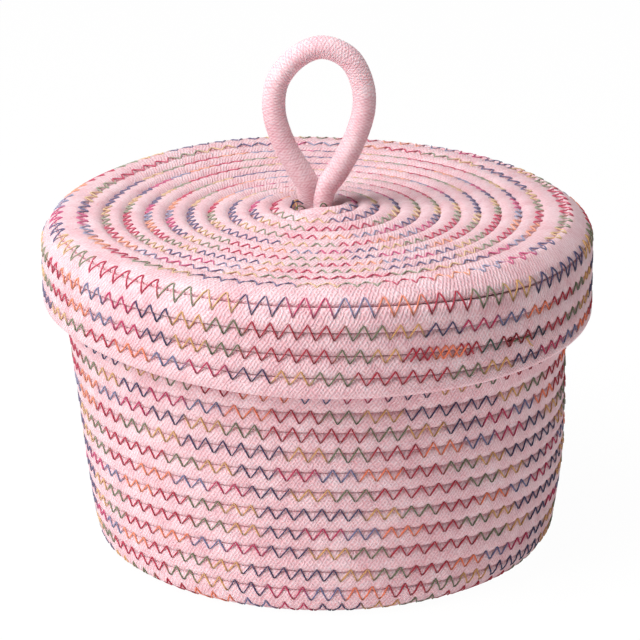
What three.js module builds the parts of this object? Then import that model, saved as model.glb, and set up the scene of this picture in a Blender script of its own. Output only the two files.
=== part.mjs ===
// A round basket of coiled cotton rope with a slip-over lid, and a rope loop on the lid to lift it by.
//
// Both the basket and the lid are one rope each, laid in a flat spiral that turns a corner and goes on
// as a wall: the basket's wall climbs, the lid's skirt hangs. A third rope makes the loop. Its two ends
// go down through the middle of the lid and are bent flat under it.
//
// Millimetres, +Z up. The origin is the middle of the base, on the floor, and the front is along -Y.
import * as THREE from 'three';

// The rope as it lies in a coil: a section of five sides with a flat side down. It is rounder where it
// lies flat or turns a corner, and taller where its courses stand on one another.
const cordRadius = 3.55;
const wallCordRise = 3.8;
const skirtCordRise = 4.05;
const cordSides = 5;
const cordFlat = cordRadius * Math.cos(Math.PI / cordSides);
const cordHalfWidth = cordRadius * Math.cos(Math.PI / (2 * cordSides));

// The basket
const basePitch = 7.6;
const baseStartRadius = 5.4;
const baseStartSlack = 4.4;
const baseFlatRadius = 72.4;
const footCornerRadius = 8;
const wallPitch = 7.52;
const wallDraft = THREE.MathUtils.degToRad(6);
const flareEndHeight = 83.7;
const frontCourseHeight = 15.6;

// The lid
const lidPitch = 7.6;
const lidStartRadius = 7.4;
const lidStartAngle = THREE.MathUtils.degToRad(-95);
const lidStartDip = THREE.MathUtils.degToRad(45);
const lidCordHeight = 120;
const lidMoundHeight = 2.6;
const lidMoundRadius = 30;
const lidSag = 0.8;
const shoulderRadius = 8;
const skirtPitch = 8;
const skirtEndHeight = 86.6;

// How the lid sits on the basket
const lidSideClearance = 1.75;
const lidSeatGap = 0.85;

// The loop, a thicker rope, and its legs, which are pinched together where they leave the lid
const loopRopeRadius = 4.15;
const loopSides = 8;
const legHalfWidth = 2.5;
const legHalfDepth = 3.15;
const legGap = 0.6;
const legSwellLength = 12;
const loopHingeRise = 9.5;
const loopHeight = 53.6;
const loopHalfWidth = 16;
const loopTopShift = 1.6;
const loopSteps = 40;

// The loop's ends under the lid
const tailLength = 24;
const tailHalfHeight = 2.6;
const tailBend = 4.2;
const seatGap = 0.4;
const tailBackTurn = THREE.MathUtils.degToRad(20);

// The wall's foot is a rounded corner. From it the wall flares to the rim, and the lid's skirt fits
// over the rim with its clearance.
const cordDiameter = 2 * cordRadius;
const footTurn = Math.PI / 2 - wallDraft;
const footArc = footCornerRadius * footTurn;
const footEndRadius = baseFlatRadius + footCornerRadius * Math.sin(footTurn);
const footEndHeight = cordFlat + footCornerRadius * (1 - Math.cos(footTurn));
const flareLength = (flareEndHeight - footEndHeight) / Math.cos(wallDraft);
const rimRadius = footEndRadius + flareLength * Math.sin(wallDraft);
const rimHeight = lidCordHeight - cordFlat - lidSeatGap - wallCordRise;
const skirtCordRadius = rimRadius + 2 * cordHalfWidth + lidSideClearance;
const loopHingeHeight = lidCordHeight + loopHingeRise;

const up = new THREE.Vector3(0, 0, 1);

// How many straight steps one loop takes at a radius
function stepsPerLoop(radius) {
  if (radius < 20) return 14;
  if (radius < 45) return 18;
  return 24;
}

// The middle of the basket's rope, r out and z up, at a length s along the profile from the axis:
// flat over the floor, round the foot's corner, up the flaring wall, and straight up under the lid.
function basketProfile(s) {
  if (s < baseFlatRadius) return { r: s, z: cordFlat };
  const past = s - baseFlatRadius;
  if (past < footArc) {
    const turn = past / footCornerRadius;
    return {
      r: baseFlatRadius + footCornerRadius * Math.sin(turn),
      z: cordFlat + footCornerRadius * (1 - Math.cos(turn)),
    };
  }
  const climb = past - footArc;
  if (climb < flareLength) {
    return {
      r: footEndRadius + climb * Math.sin(wallDraft),
      z: footEndHeight + climb * Math.cos(wallDraft),
    };
  }
  return { r: rimRadius, z: flareEndHeight + climb - flareLength };
}

// The lid's rope on its flat top: a low mound in the middle and a slight sag round it
const lidFlatRadius = skirtCordRadius - shoulderRadius;

function lidTopHeight(r) {
  const mound = lidMoundHeight * Math.exp(-((r / lidMoundRadius) ** 2));
  const sag = lidSag * Math.sin(Math.PI * Math.min(1, r / lidFlatRadius)) ** 2;
  return lidCordHeight + mound - sag;
}

// The middle of the lid's rope along its profile: the top, the shoulder and the skirt
const shoulderArc = shoulderRadius * Math.PI / 2;

function lidProfile(s) {
  if (s < lidFlatRadius) return { r: s, z: lidTopHeight(s) };
  const past = s - lidFlatRadius;
  if (past < shoulderArc) {
    const turn = past / shoulderRadius;
    return {
      r: lidFlatRadius + shoulderRadius * Math.sin(turn),
      z: lidCordHeight - shoulderRadius * (1 - Math.cos(turn)),
    };
  }
  return { r: skirtCordRadius, z: lidCordHeight - shoulderRadius - (past - shoulderArc) };
}

// Where the rope is along the profile after a number of loops. The basket's first loop is wider, to
// leave its straight end room. The pitch changes where the flat spiral ends.
const baseLoops = (baseFlatRadius - baseStartRadius - baseStartSlack) / basePitch;
const topLoops = (lidFlatRadius + shoulderArc - lidStartRadius) / lidPitch;
const wallLoops = (footArc + flareLength + rimHeight - flareEndHeight) / wallPitch;
const basketLoops = baseLoops + wallLoops;
const skirtDrop = lidCordHeight - shoulderRadius - skirtEndHeight;
const lidLoops = topLoops + skirtDrop / skirtPitch;

function basketLength(loops) {
  const slack = baseStartSlack * (1 - (1 - Math.min(1, loops)) ** 2);
  if (loops < baseLoops) return baseStartRadius + slack + basePitch * loops;
  return baseFlatRadius + wallPitch * (loops - baseLoops);
}

function lidLength(loops) {
  if (loops < topLoops) return lidStartRadius + lidPitch * loops;
  return lidFlatRadius + shoulderArc + skirtPitch * (loops - topLoops);
}

// The basket's rope winds clockwise seen from above, and its start is turned so that the middle of a
// course stands at the named height at the front. The lid's rope winds the other way.
const frontLoops = baseLoops
  + (footArc + (frontCourseHeight - footEndHeight) / Math.cos(wallDraft)) / wallPitch;
const basketStartAngle = -Math.PI / 2 + 2 * Math.PI * frontLoops;

function onCoil(profilePoint, angle) {
  return new THREE.Vector3(
    profilePoint.r * Math.cos(angle),
    profilePoint.r * Math.sin(angle),
    profilePoint.z,
  );
}

function basketPath(loops) {
  return onCoil(basketProfile(basketLength(loops)), basketStartAngle - 2 * Math.PI * loops);
}

function lidPath(loops) {
  return onCoil(lidProfile(lidLength(loops)), lidStartAngle + 2 * Math.PI * loops);
}

// The half-height of the section after a number of loops: it grows over the loop after the corner
function basketRise(loops) {
  const pastCorner = loops - baseLoops - footArc / wallPitch;
  return THREE.MathUtils.lerp(cordRadius, wallCordRise, THREE.MathUtils.smoothstep(pastCorner, 0, 1));
}

function lidRise(loops) {
  const pastShoulder = loops - topLoops;
  return THREE.MathUtils.lerp(cordRadius, skirtCordRise, THREE.MathUtils.smoothstep(pastShoulder, 0, 1));
}

// One station of a sweep: its middle, the way on, and the sideways and upward half-axes of its section
function station(middle, along, halfUp) {
  const side = new THREE.Vector3().crossVectors(up, along).normalize();
  const over = new THREE.Vector3().crossVectors(along, side);
  return { middle, along, side, over, halfSide: cordRadius, halfUp };
}

function pathDirection(path, loops) {
  const nudge = 1e-4;
  return path(loops + nudge).sub(path(loops - nudge)).normalize();
}

// The stations of a coil, with a straight run of one cord's diameter before it and after it.
// The first run may dip below the coil, which takes it out of the next loop's way.
function coilStations(path, rise, loops, dip) {
  const stations = [];
  const start = path(0);
  const level = pathDirection(path, 0);
  const downward = new THREE.Vector3().crossVectors(level, up).normalize();
  const runWay = level.clone().applyAxisAngle(downward, dip);
  const bendWay = level.clone().applyAxisAngle(downward, dip / 2);
  stations.push(station(start.clone().addScaledVector(runWay, -cordDiameter), runWay, rise(0)));
  stations.push(station(start, bendWay, rise(0)));
  let at = 0;
  while (at < loops - 1e-6) {
    const here = path(at);
    at = Math.min(loops, at + 1 / stepsPerLoop(Math.hypot(here.x, here.y)));
    stations.push(station(path(at), pathDirection(path, at), rise(at)));
  }
  const endWay = pathDirection(path, loops);
  stations.push(station(path(loops).addScaledVector(endWay, cordDiameter), endWay, rise(loops)));
  return stations;
}

// One point of a section: counted from below, half a side round, so that five sides have a flat side
// down, and eight have one down, one up and one on each side.
function sectionPoint(at, sides, index) {
  const angle = -Math.PI / 2 + (2 * Math.PI / sides) * (index + 0.5);
  return at.middle.clone()
    .addScaledVector(at.side, at.halfSide * Math.cos(angle))
    .addScaledVector(at.over, at.halfUp * Math.sin(angle));
}

// A closed tube through its stations, with flat ends
function sweep(stations, sides) {
  const positions = [];
  for (const at of stations) {
    for (let i = 0; i < sides; i += 1) positions.push(...sectionPoint(at, sides, i).toArray());
  }
  const triangles = [];
  for (let s = 0; s + 1 < stations.length; s += 1) {
    for (let i = 0; i < sides; i += 1) {
      const a = s * sides + i;
      const b = s * sides + (i + 1) % sides;
      triangles.push(a, b, b + sides, a, b + sides, a + sides);
    }
  }
  const last = (stations.length - 1) * sides;
  for (let i = 1; i + 1 < sides; i += 1) {
    triangles.push(0, i + 1, i);
    triangles.push(last, last + i, last + i + 1);
  }
  const geometry = new THREE.BufferGeometry();
  geometry.setAttribute('position', new THREE.Float32BufferAttribute(positions, 3));
  geometry.setIndex(triangles);
  geometry.computeVertexNormals();
  return geometry;
}

// The least gap of a coil to itself, on points of its outline along each side of a section, at each
// station, against every station that is far enough along the rope to be another loop
function leastGap(stations, sides) {
  const pointsPerSide = 4;
  const nextLoop = 6;
  const reach = 3 * cordRadius;
  const outlines = stations.map((at) => {
    const points = [];
    for (let i = 0; i < sides; i += 1) {
      const from = sectionPoint(at, sides, i);
      const to = sectionPoint(at, sides, i + 1);
      for (let part = 0; part < pointsPerSide; part += 1) {
        points.push(from.clone().lerp(to, part / pointsPerSide));
      }
    }
    return points;
  });
  let least = Infinity;
  for (let i = 0; i < stations.length; i += 1) {
    for (let j = i + nextLoop; j < stations.length; j += 1) {
      if (stations[i].middle.distanceTo(stations[j].middle) > reach) continue;
      for (const p of outlines[i]) {
        for (const q of outlines[j]) least = Math.min(least, p.distanceTo(q));
      }
    }
  }
  return least;
}

// The loop's rope in the plane over the lid's middle: across, in half-widths, and up from its hinge, in
// heights. The legs leave the lid pinched together and swing out, and the top leans to the right.
function loopCurve() {
  const legX = legHalfWidth + legGap / 2;
  const leftSide = [[-0.43, 0.15], [-0.77, 0.33], [-1, 0.57], [-0.9, 0.78], [-0.43, 0.945]];
  const rightSide = [[0.67, 0.925], [0.97, 0.75], [1, 0.57], [0.74, 0.33], [0.41, 0.15]];
  const legSwing = 0.6;
  const legTop = 0.05 * loopHeight;
  const side = (shares) => shares.map(([x, z]) => [x * loopHalfWidth, z * loopHeight]);
  const route = [
    [-legX, 0], [-legX - legSwing, legTop], ...side(leftSide),
    [loopTopShift, loopHeight], ...side(rightSide), [legX + legSwing, legTop], [legX, 0],
  ];
  const points = route.map(([x, z]) => new THREE.Vector3(x, 0, loopHingeHeight + z));
  return new THREE.CatmullRomCurve3(points, false, 'centripetal');
}

// The stations of the loop. Its legs are narrow at the hinge and the rope's own width further up, and
// each ends in a round that turns about the hinge without moving closer to what is below it.
function loopStations() {
  const curve = loopCurve();
  const length = curve.getLength();
  const stations = [];
  const across = new THREE.Vector3(0, 1, 0);
  const add = (middle, along, halfSide, halfOver) => {
    const over = new THREE.Vector3().crossVectors(along, across).normalize();
    stations.push({ middle, along, side: across, over, halfSide, halfUp: halfOver });
  };
  const endRings = [75, 50, 25].map((degrees) => THREE.MathUtils.degToRad(degrees));
  const start = curve.getPointAt(0);
  const finish = curve.getPointAt(1);
  for (const a of endRings) {
    const middle = start.clone().addScaledVector(up, -legHalfDepth * Math.sin(a));
    add(middle, up.clone(), legHalfDepth * Math.cos(a), legHalfWidth * Math.cos(a));
  }
  for (let i = 0; i <= loopSteps; i += 1) {
    const t = i / loopSteps;
    const fromEnd = Math.min(t, 1 - t) * length;
    const share = THREE.MathUtils.smoothstep(fromEnd, 0, legSwellLength);
    const halfSide = THREE.MathUtils.lerp(legHalfDepth, loopRopeRadius, share);
    const halfUp = THREE.MathUtils.lerp(legHalfWidth, loopRopeRadius, share);
    let along = curve.getTangentAt(t);
    if (i === 0) along = up.clone();
    if (i === loopSteps) along = up.clone().negate();
    add(curve.getPointAt(t), along, halfSide, halfUp);
  }
  for (const a of endRings.slice().reverse()) {
    const middle = finish.clone().addScaledVector(up, -legHalfDepth * Math.sin(a));
    add(middle, up.clone().negate(), legHalfDepth * Math.cos(a), legHalfWidth * Math.cos(a));
  }
  return stations;
}

// One end of the loop's rope: down from under the hinge through the lid, round a bend, and outward
// under the lid, whose underside it follows at the seat's gap. It turns a little to the back as it
// bends, which keeps it clear of the start of the lid's rope.
function tailStations(sideSign, backTurn) {
  const legX = sideSign * (legHalfWidth + legGap / 2);
  const sideways = new THREE.Vector3(sideSign, 0, 0);
  const outward = sideways.clone().applyAxisAngle(up, sideSign * backTurn);
  const leg = (z) => new THREE.Vector3(legX, 0, z);
  const place = (reach) => leg(0).addScaledVector(outward, reach);
  const underLid = (point) => {
    const radius = Math.hypot(point.x, point.y);
    return lidTopHeight(radius) - cordFlat - seatGap - tailHalfHeight;
  };
  const bendEnd = place(tailBend);
  const bendHeight = underLid(bendEnd) + tailBend;
  const top = loopHingeHeight - legHalfDepth - seatGap;
  const stations = [];
  const add = (middle, along, turned, halfUp) => {
    const side = new THREE.Vector3().crossVectors(up, turned);
    const over = new THREE.Vector3().crossVectors(along, side).normalize();
    stations.push({ middle, along, side, over, halfSide: legHalfDepth, halfUp });
  };
  const down = up.clone().negate();
  add(leg(top), down, sideways, legHalfWidth);
  add(leg((top + bendHeight) / 2), down, sideways, legHalfWidth);
  const bendSteps = 4;
  for (let step = 0; step <= bendSteps; step += 1) {
    const share = step / bendSteps;
    const turn = (Math.PI / 2) * share;
    const turned = sideways.clone().applyAxisAngle(up, sideSign * backTurn * share);
    const middle = place(tailBend * (1 - Math.cos(turn)));
    middle.z = bendHeight - tailBend * Math.sin(turn);
    const along = outward.clone().multiplyScalar(Math.sin(turn)).addScaledVector(up, -Math.cos(turn));
    add(middle, along, turned, THREE.MathUtils.lerp(legHalfWidth, tailHalfHeight, share));
  }
  const runSteps = 4;
  for (let step = 1; step <= runSteps; step += 1) {
    const middle = place(tailBend + (tailLength - tailBend) * (step / runSteps));
    middle.z = underLid(middle);
    add(middle, outward, outward, tailHalfHeight);
  }
  return stations;
}

// Colours of the ropes
const rope = new THREE.MeshStandardMaterial({ color: 0xe9c3cb, roughness: 0.92, metalness: 0 });
const loopRope = new THREE.MeshStandardMaterial({ color: 0xe8b4bf, roughness: 0.9, metalness: 0 });

const basket = new THREE.Group();

function addPiece(name, stations, sides, material) {
  const piece = new THREE.Mesh(sweep(stations, sides), material);
  piece.name = name;
  basket.add(piece);
}

const basketStations = coilStations(basketPath, basketRise, basketLoops, 0);
const lidStations = coilStations(lidPath, lidRise, lidLoops, lidStartDip);
addPiece('basket_coil', basketStations, cordSides, rope);
addPiece('lid_coil', lidStations, cordSides, rope);
addPiece('handle_loop', loopStations(), loopSides, loopRope);
addPiece('handle_tail_left', tailStations(-1, tailBackTurn), loopSides, loopRope);
addPiece('handle_tail_right', tailStations(1, tailBackTurn), loopSides, loopRope);

console.log(`basket_coil: ${basketLoops.toFixed(2)} loops,`
  + ` least gap to itself ${leastGap(basketStations, cordSides).toFixed(2)} mm`);
console.log(`lid_coil: ${lidLoops.toFixed(2)} loops,`
  + ` least gap to itself ${leastGap(lidStations, cordSides).toFixed(2)} mm`);

export default basket;
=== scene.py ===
# %% [markdown]
# A lidded basket of coiled cotton rope.
# The real one is three ropes and a sewing thread. The basket is one rope laid in a spiral that turns up
# into a wall, the lid is a second one that turns down into a skirt, and a third makes the loop on top.
# A zigzag seam in a thread of many colours joins each course of rope to the next.
# Every length is in metres, and most are written as a number of millimetres times mm. A few lists
# hold plain millimetres, and the text before them says so.

# %% [markdown]
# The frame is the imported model. Its bodies are where every piece goes, so it is loaded first.

# %% Load the fixed frame
import math
from collections.abc import Callable
from dataclasses import dataclass

import bpy
import numpy as np
from mathutils import Matrix


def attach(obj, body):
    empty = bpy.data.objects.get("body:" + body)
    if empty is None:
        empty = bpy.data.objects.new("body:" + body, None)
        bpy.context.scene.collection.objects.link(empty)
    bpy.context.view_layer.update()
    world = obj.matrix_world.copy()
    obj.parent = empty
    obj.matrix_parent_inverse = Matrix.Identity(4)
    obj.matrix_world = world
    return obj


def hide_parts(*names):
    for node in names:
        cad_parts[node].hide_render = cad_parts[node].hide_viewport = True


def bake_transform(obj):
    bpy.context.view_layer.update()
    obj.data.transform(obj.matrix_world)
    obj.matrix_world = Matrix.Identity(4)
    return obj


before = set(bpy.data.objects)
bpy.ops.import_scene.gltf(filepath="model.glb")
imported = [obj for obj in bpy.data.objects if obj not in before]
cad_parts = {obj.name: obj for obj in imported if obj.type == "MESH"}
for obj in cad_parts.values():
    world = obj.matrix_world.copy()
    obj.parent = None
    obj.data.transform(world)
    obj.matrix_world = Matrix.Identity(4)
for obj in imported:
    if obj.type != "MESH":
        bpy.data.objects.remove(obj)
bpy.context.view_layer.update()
mm = 0.001

# %% [markdown]
# The camera stands 1.14 m away with a long lens and looks down on the lid by 19 degrees. The three
# directions of its body are worked out from that slope and from a roll of less than half a degree.

# %% Camera
CAMERA_DISTANCE = 1140 * mm
CAMERA_SLOPE = math.radians(19.02)
CAMERA_ROLL = math.radians(-0.44)
CAMERA_AIM = np.array([-0.17, 0.0, 80.9]) * mm
SENSOR_WIDTH = 36.0
LENS = 175.77


def add_object(name, data):
    """A new object in the scene that holds this data."""
    made = bpy.data.objects.new(name, data)
    bpy.context.scene.collection.objects.link(made)
    return made


def standing(right, back, place):
    """The matrix of an object at a place, from where its right side and its back point."""
    columns = np.column_stack([right, np.cross(back, right), back, place])
    return Matrix([*columns.tolist(), [0.0, 0.0, 0.0, 1.0]])


def camera_matrix():
    """The camera's place and turn: its back points from the aim to the camera, up the slope."""
    ahead = np.array([0.0, math.cos(CAMERA_SLOPE), -math.sin(CAMERA_SLOPE)])
    level = np.array([1.0, 0.0, 0.0])
    right = math.cos(CAMERA_ROLL) * level + math.sin(CAMERA_ROLL) * np.cross(level, ahead)
    return standing(right, -ahead, CAMERA_AIM - CAMERA_DISTANCE * ahead)


lens = bpy.data.cameras.new("camera")
lens.sensor_width = SENSOR_WIDTH
lens.lens = LENS
lens.clip_start = 0.05
lens.clip_end = 20.0
camera = add_object("camera", lens)
camera.matrix_world = camera_matrix()
bpy.context.scene.camera = camera
bpy.context.scene.view_settings.view_transform = "Standard"
print("camera at", [round(c, 3) for c in camera.matrix_world.translation], "m")

# %% [markdown]
# The rope's sizes. A rope sewn in a coil is pressed against its neighbours, so its section is a
# rounded square more than a circle: as wide as the pitch of the courses, and on the walls a little
# fuller outside than inside. Neighbours are drawn a little wide, so that their soft skins meet and
# leave only a fine groove.

# %% Sizes of the ropes and of their courses
BASE_PITCH = 7.6 * mm
BASE_FLAT_RADIUS = 72.4 * mm
FOOT_CORNER = 8.0 * mm
WALL_PITCH = 7.52 * mm
WALL_DRAFT = math.radians(6)
FLARE_END_HEIGHT = 83.7 * mm
FRONT_COURSE_HEIGHT = 15.6 * mm
FLOOR_HALF = 2.872 * mm

LID_PITCH = 7.6 * mm
LID_START_RADIUS = 7.4 * mm
LID_START_ANGLE = math.radians(-95)
LID_CORD_HEIGHT = 120 * mm
LID_MOUND_HEIGHT = 2.6 * mm
LID_MOUND_RADIUS = 30 * mm
LID_SAG = 0.8 * mm
SHOULDER = 8.0 * mm
SKIRT_PITCH = 8.0 * mm
SKIRT_END_HEIGHT = 86.6 * mm

CAD_CORD_WIDTH = 6.7525 * mm
LID_SIDE_CLEARANCE = 1.75 * mm
LID_SEAT_GAP = 0.85 * mm
CAD_WALL_RISE = 3.8 * mm

ROPE_OUT = 3.75 * mm
ROPE_IN = 3.55 * mm
TOP_OUT = 3.55 * mm
WALL_SQUARENESS = 4.2
TOP_SQUARENESS = 2.4
SPREAD = 1.08

FOOT_TURN = math.pi / 2 - WALL_DRAFT
FOOT_ARC = FOOT_CORNER * FOOT_TURN
FOOT_END_RADIUS = BASE_FLAT_RADIUS + FOOT_CORNER * math.sin(FOOT_TURN)
FOOT_END_HEIGHT = FLOOR_HALF + FOOT_CORNER * (1 - math.cos(FOOT_TURN))
FLARE_LENGTH = (FLARE_END_HEIGHT - FOOT_END_HEIGHT) / math.cos(WALL_DRAFT)
RIM_RADIUS = FOOT_END_RADIUS + FLARE_LENGTH * math.sin(WALL_DRAFT)
RIM_HEIGHT = LID_CORD_HEIGHT - FLOOR_HALF - LID_SEAT_GAP - CAD_WALL_RISE
SKIRT_RADIUS = RIM_RADIUS + CAD_CORD_WIDTH + LID_SIDE_CLEARANCE
LID_FLAT_RADIUS = SKIRT_RADIUS - SHOULDER
SHOULDER_ARC = SHOULDER * math.pi / 2
print("rim radius", round(RIM_RADIUS / mm, 2), "skirt radius", round(SKIRT_RADIUS / mm, 2))

# %% [markdown]
# Each coil follows a profile, the line that a cut through its wall would show. The rope winds round
# the axis while it moves along that line by one pitch a loop. A profile function gives, for lengths
# along the line, the distance from the axis, the height and the slope of the line there.

# %% The two profiles
TILT_STEP = 0.1 * mm


def bell(distance, size):
    """A bell curve: e to the minus square of the distance over the size."""
    return np.exp(-((distance / size) ** 2))


def basket_profile(length):
    """Flat over the floor, an arc at the foot, a straight flare and a straight upright rim."""
    bend = np.clip((length - BASE_FLAT_RADIUS) / FOOT_CORNER, 0, FOOT_TURN)
    climb = np.clip(length - BASE_FLAT_RADIUS - FOOT_ARC, 0, FLARE_LENGTH)
    rise = np.maximum(length - BASE_FLAT_RADIUS - FOOT_ARC - FLARE_LENGTH, 0)
    flat = np.minimum(length, BASE_FLAT_RADIUS)
    radius = flat + FOOT_CORNER * np.sin(bend) + climb * math.sin(WALL_DRAFT)
    corner = FOOT_CORNER * (1 - np.cos(bend))
    height = FLOOR_HALF + corner + climb * math.cos(WALL_DRAFT) + rise
    slope = np.where(rise > 0, math.pi / 2, bend)
    return radius, height, slope


def lid_top_height(radius):
    """The top's height: a low round mound in the middle, and a slight sag round it."""
    mound = LID_MOUND_HEIGHT * bell(radius, LID_MOUND_RADIUS)
    share = np.minimum(1, radius / LID_FLAT_RADIUS)
    return LID_CORD_HEIGHT + mound - LID_SAG * np.sin(math.pi * share) ** 2


def lid_profile(length):
    """The top, an arc at the shoulder and an upright skirt that hangs from it."""
    bend = np.clip((length - LID_FLAT_RADIUS) / SHOULDER, 0, math.pi / 2)
    drop = np.maximum(length - LID_FLAT_RADIUS - SHOULDER_ARC, 0)
    flat = np.clip(length, 0, LID_FLAT_RADIUS)
    radius = flat + SHOULDER * np.sin(bend)
    height = lid_top_height(flat) - SHOULDER * (1 - np.cos(bend)) - drop
    rise = lid_top_height(flat + TILT_STEP) - lid_top_height(flat - TILT_STEP)
    slope = np.where(bend > 0, -bend, np.arctan(rise / (2 * TILT_STEP)))
    return radius, height, slope


print("lid's mound up to", round(lid_top_height(0) / mm, 1), "mm")

# %% [markdown]
# The rope's section changes on its way. On the lid's top the courses are round ridges, and on the
# basket's wall and the lid's skirt they are pressed flatter and squarer. A section function gives
# half the width, the thickness outward and inward and the squareness of the corners. The lid's rope
# starts thin, tucked in beside the first loop.

# %% The ropes' sections
START_LOOPS = 0.16
START_TUCK = 0.62
START_FLARE = 16.8 * mm
START_THINNING = 0.65
BASKET_SQUARING_LOOPS = 1.2
LID_ROUND_LOOPS_LEFT = 2.9
LID_SQUARING_LOOPS = 1.5


def between(first, second, share):
    """The first value plus a share of the way to the second one."""
    return first + (second - first) * share


def ramp(value, start, stop):
    """A smooth step from 0 at start to 1 at stop: three times the share's square less twice its
    cube. It also runs downwards, where stop is the lower one."""
    share = np.clip((value - start) / (stop - start), 0, 1)
    return share * share * (3 - 2 * share)


def basket_section(loops):
    """Half the width, the thickness outward and inward, and the squareness: the base's values go
    over into the wall's by a smooth step."""
    upright = ramp(loops, BASE_LOOPS, BASE_LOOPS + BASKET_SQUARING_LOOPS)
    half = between(BASE_PITCH, WALL_PITCH, upright) / 2
    square = between(TOP_SQUARENESS, WALL_SQUARENESS, upright)
    return half, np.full_like(loops, ROPE_OUT), np.full_like(loops, ROPE_IN), square


def lid_section(loops):
    """The same four: the top's values go over into the skirt's. The rope's start is narrower by the
    tuck, and thinner by a share of it."""
    squaring = TOP_LOOPS - LID_ROUND_LOOPS_LEFT
    upright = ramp(loops, squaring, squaring + LID_SQUARING_LOOPS)
    half = between(LID_PITCH, SKIRT_PITCH, ramp(loops, TOP_LOOPS, TOP_LOOPS + 1)) / 2
    tucked = 1 - START_TUCK * ramp(loops, 0, -START_LOOPS)
    outer = between(TOP_OUT, ROPE_OUT, upright) * between(1, tucked, START_THINNING)
    square = between(TOP_SQUARENESS, WALL_SQUARENESS, upright)
    return half * tucked, outer, np.full_like(loops, ROPE_IN), square


# %% [markdown]
# A coil ties a profile to its winding. Its middle line is asked for by a number of loops, which need
# not be whole, and comes with two directions: across, along the profile towards the next course, and
# outward, square to the wall. The rope's section and the stitches are both drawn in those two.
#
# No hand winds evenly. Each stray is a place where the courses run off level: degrees to the right of
# the front, how wide it spreads in degrees, and at a few loops how many mm the seam strays towards the
# next course. The basket's courses hang 2 to 3 mm low on both sides of the front. The lid's first
# stray is all round and opens a hollow beside the loop's right leg. Its courses hang 2 mm low on the
# right and stand high on the left, and the last is narrow at the front's left end.
#
# The walls aren't quite round either. A bulge says, at a few heights in mm, how many mm that side of
# the basket stands to the right of an even one.

# %% Coils
BASE_START_SLACK = 9.8 * mm
BASE_LOOPS = (BASE_FLAT_RADIUS - BASE_START_SLACK) / BASE_PITCH
WALL_ARC = FOOT_ARC + FLARE_LENGTH + RIM_HEIGHT - FLARE_END_HEIGHT
BASKET_LOOPS = BASE_LOOPS + WALL_ARC / WALL_PITCH
FRONT_LOOPS = BASE_LOOPS + (
    FOOT_ARC + (FRONT_COURSE_HEIGHT - FOOT_END_HEIGHT) / math.cos(WALL_DRAFT)
) / WALL_PITCH
TOP_LOOPS = (LID_FLAT_RADIUS + SHOULDER_ARC - LID_START_RADIUS) / LID_PITCH
SKIRT_DROP = LID_CORD_HEIGHT - SHOULDER - SKIRT_END_HEIGHT
LID_LOOPS = TOP_LOOPS + SKIRT_DROP / SKIRT_PITCH
SAMPLES_A_LOOP = 400
UP = np.array([0.0, 0.0, 1.0])

ALL_ROUND = math.inf
BASKET_STRAYS = (
    (52, 38, ((8.6, 0), (10.3, -3), (11.5, -2.2), (18.5, -2), (20.8, 0))),
    (-65, 38, ((8.6, 0), (11.5, -2.7), (16, -1.5), (17.2, 0))),
    (0, 30, ((8.6, 0), (10.3, -1.2), (11.5, 0))),
)
LID_STRAYS = (
    (0, ALL_ROUND, ((-0.86, 0), (-0.74, 2), (-0.52, 2), (-0.36, 0))),
    (50, 35, ((9.8, 0), (11, 2.2), (14, 2.6), (15, 0))),
    (75, 40, ((14, 0), (15, -2))),
    (-65, 40, ((11, 0), (14, -2), (15, -5))),
    (-15, 30, ((9.8, 0), (11, 1), (12, 0))),
)


def lengths_along(points):
    """The length of a line of points up to each of them."""
    return np.r_[0, np.cumsum(np.linalg.norm(np.diff(points, axis=0), axis=1))]


@dataclass
class Coil:
    """A rope's middle line round the axis. length gives how far along the profile it is after some
    loops, way is 1 or -1 for the turn, and outward is 1 or -1 for the side that is the outside."""

    profile: Callable
    length: Callable
    even_section: Callable
    lean: Callable
    strays: tuple
    start_angle: float
    way: int
    outward: int

    def angle(self, loops):
        """The start's angle, and a full turn more or less for each loop."""
        return self.start_angle + self.way * 2 * math.pi * loops

    def sway(self, loops):
        """How far the seam after these loops strays towards the next course: the sum of each
        stray's size at these loops times a bell curve of the angle past its middle."""
        from_front = np.degrees(self.angle(loops)) + 90
        total = 0
        for middle, spread, sizes in self.strays:
            past = np.mod(from_front - middle + 180, 360) - 180
            total = total + np.interp(loops, *np.array(sizes, float).T) * bell(past, spread)
        return total * mm

    def section(self, loops):
        """The even section, with half the width that the seams on both sides leave."""
        half, outer, inner, square = self.even_section(loops)
        return half + (self.sway(loops) - self.sway(loops - 1)) / 2, outer, inner, square

    def bend(self, loops):
        """Half the angle that the profile turns by from one side of the rope to the other."""
        before, after = (self.profile(self.length(loops + side))[2] for side in (-0.5, 0.5))
        return self.outward * (after - before) / 2

    def at(self, loops):
        """Middle, across and outward directions after these loops, each an array of 3D vectors."""
        strayed = (self.sway(loops) + self.sway(loops - 1)) / 2
        radius, height, slope = self.profile(self.length(loops) + strayed)
        angle = self.angle(loops)
        ray = np.stack([np.cos(angle), np.sin(angle), np.zeros_like(angle)], -1)
        middle = radius[:, None] * ray + height[:, None] * UP
        across = np.cos(slope)[:, None] * ray + np.sin(slope)[:, None] * UP
        out = np.sin(slope)[:, None] * ray - np.cos(slope)[:, None] * UP
        return middle + self.lean(middle), across, self.outward * out

    def run(self, first, last, step):
        """Loops from first to last about one step of rope apart, and the rope's length up to each."""
        fine = np.linspace(first, last, int(abs(last - first) * SAMPLES_A_LOOP) + 2)
        far = lengths_along(self.at(fine)[0])
        even = np.linspace(0, far[-1], int(far[-1] / step) + 2)
        return np.interp(even, far, fine), even


def basket_length(loops):
    """The slack in the middle, and a pitch for each loop: the base's, then the wall's."""
    flat = BASE_START_SLACK + BASE_PITCH * np.minimum(loops, BASE_LOOPS)
    return flat + WALL_PITCH * np.maximum(loops - BASE_LOOPS, 0)


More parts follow.
